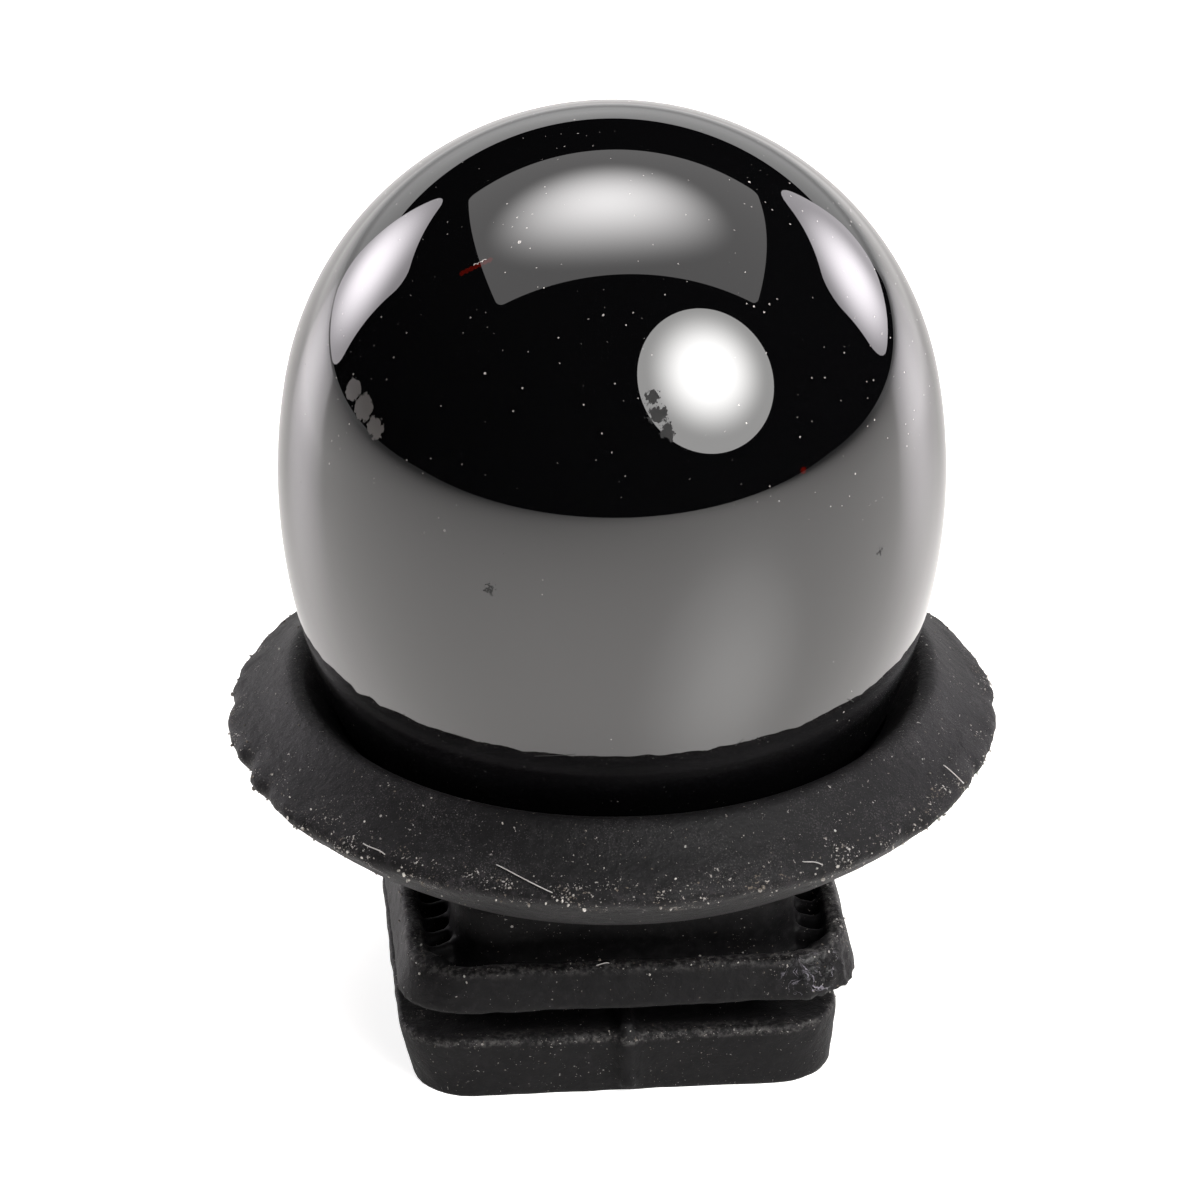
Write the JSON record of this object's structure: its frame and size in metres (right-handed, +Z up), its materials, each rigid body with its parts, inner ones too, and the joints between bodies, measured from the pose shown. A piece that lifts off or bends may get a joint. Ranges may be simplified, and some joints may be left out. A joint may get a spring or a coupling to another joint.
{
  "type": "dome light sensor",
  "caption": "Glossy dark dome over a light sensor, held in a round rubber collar with a square snap-in plug and a connector socket underneath.",
  "frame": {"origin": "centre of the plug's bottom face", "axes": "+Z up through the plug, the collar and the top of the dome; X and Y along the sides of the square plug; -Y is the front, with the mould's parting line in the middle"},
  "size_m": [0.0234, 0.0234, 0.029],
  "materials": {
    "dome": "high gloss, nearly black smoked resin",
    "grommet_rubber": "matte black, dusty",
    "housing": "fine moulded texture",
    "seal_rubber": "smooth",
    "resin": "cast, glossy",
    "pin_metal": "tin plated",
    "solder": "bright solder",
    "board": "green solder mask",
    "diode_resin": "dark filter resin",
    "baffle": "dead matte",
    "diffuser": "milky",
    "chip_body": "moulded epoxy",
    "capacitor_body": "fired ceramic"
  },
  "bodies": {
    "root": {"dome_window": "dome", "grommet": "grommet_rubber", "sensor_housing": "housing", "dome_seal": "seal_rubber", "pin_seal": "resin", "terminal_pin_left": "pin_metal", "terminal_pin_common": "pin_metal", "terminal_pin_right": "pin_metal", "circuit_board": "board", "solder_joints": "solder", "photodiode_left": "diode_resin", "photodiode_right": "diode_resin", "light_baffle": "baffle", "diffuser": "diffuser", "amplifier_chip": "chip_body", "load_resistor_left": "chip_body", "load_resistor_right": "chip_body", "filter_capacitor": "capacitor_body", "supply_capacitor": "capacitor_body", "protection_diode": "chip_body"}
  },
  "joints": []
}
